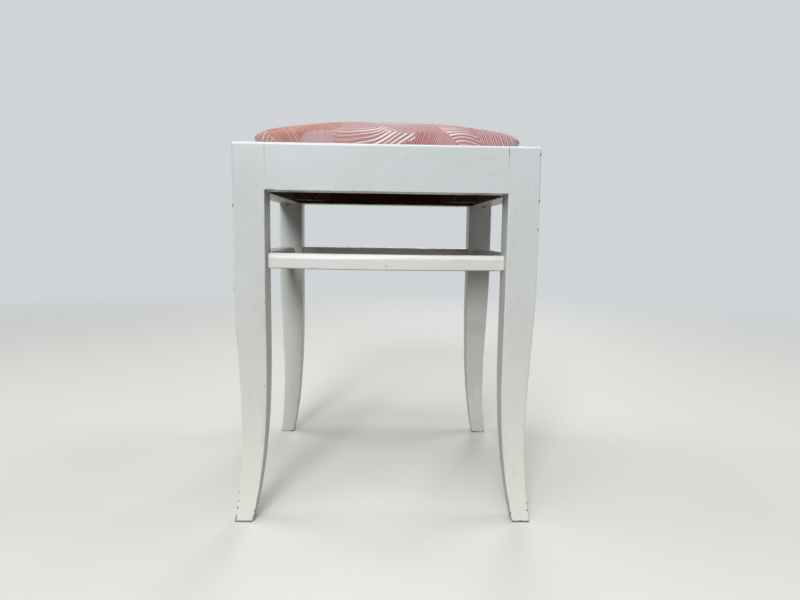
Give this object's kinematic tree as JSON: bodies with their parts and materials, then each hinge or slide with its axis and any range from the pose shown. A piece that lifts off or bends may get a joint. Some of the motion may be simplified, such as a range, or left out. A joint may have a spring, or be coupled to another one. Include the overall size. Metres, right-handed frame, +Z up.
{
  "type": "upholstered stool",
  "caption": "Square painted wooden stool with sabre legs, deep seat rails, bowed stretchers and a crowned upholstered seat that lifts out of a rebate.",
  "frame": {"origin": "on the floor, under the middle of the stool", "axes": "+Z up, -Y the front that the picture shows, +X to the right seen from the front"},
  "size_m": [0.368, 0.368, 0.499],
  "materials": {
    "painted_wood": "brushed off-white satin paint over dark wood, chipped on the edges",
    "bare_wood": "bare dark-stained wood",
    "steel": "dull steel",
    "tack_steel": "blued steel",
    "webbing": "woven jute",
    "hessian": "open plain weave",
    "stuffing": "curled fibre",
    "wadding": "soft cotton felt",
    "seat_fabric": "ribbed weave in dusty rose with pale combed sweeps",
    "bottom_cloth": "plain black cotton"
  },
  "bodies": {
    "frame": {"front_left_leg": "painted_wood", "front_right_leg": "painted_wood", "back_left_leg": "painted_wood", "back_right_leg": "painted_wood", "front_rail": "painted_wood", "back_rail": "painted_wood", "left_rail": "painted_wood", "right_rail": "painted_wood", "front_stretcher": "painted_wood", "back_stretcher": "painted_wood", "left_stretcher": "painted_wood", "right_stretcher": "painted_wood", "front_left_corner_block": "bare_wood", "front_right_corner_block": "bare_wood", "back_left_corner_block": "bare_wood", "back_right_corner_block": "bare_wood", "corner_block_screws": "steel"},
    "seat": {"seat_frame_front": "bare_wood", "seat_frame_back": "bare_wood", "seat_frame_left": "bare_wood", "seat_frame_right": "bare_wood", "webbing_front_to_back": "webbing", "webbing_side_to_side": "webbing", "webbing_tacks": "tack_steel", "bottom_tacks": "tack_steel", "hessian": "hessian", "stuffing": "stuffing", "wadding": "wadding", "seat_cover": "seat_fabric", "bottom_cloth": "bottom_cloth"}
  },
  "joints": [
    {"name": "seat_lift", "type": "slide", "parent": "frame", "child": "seat", "axis": [0, 0, 1], "range_m": [0, 0.1]}
  ]
}
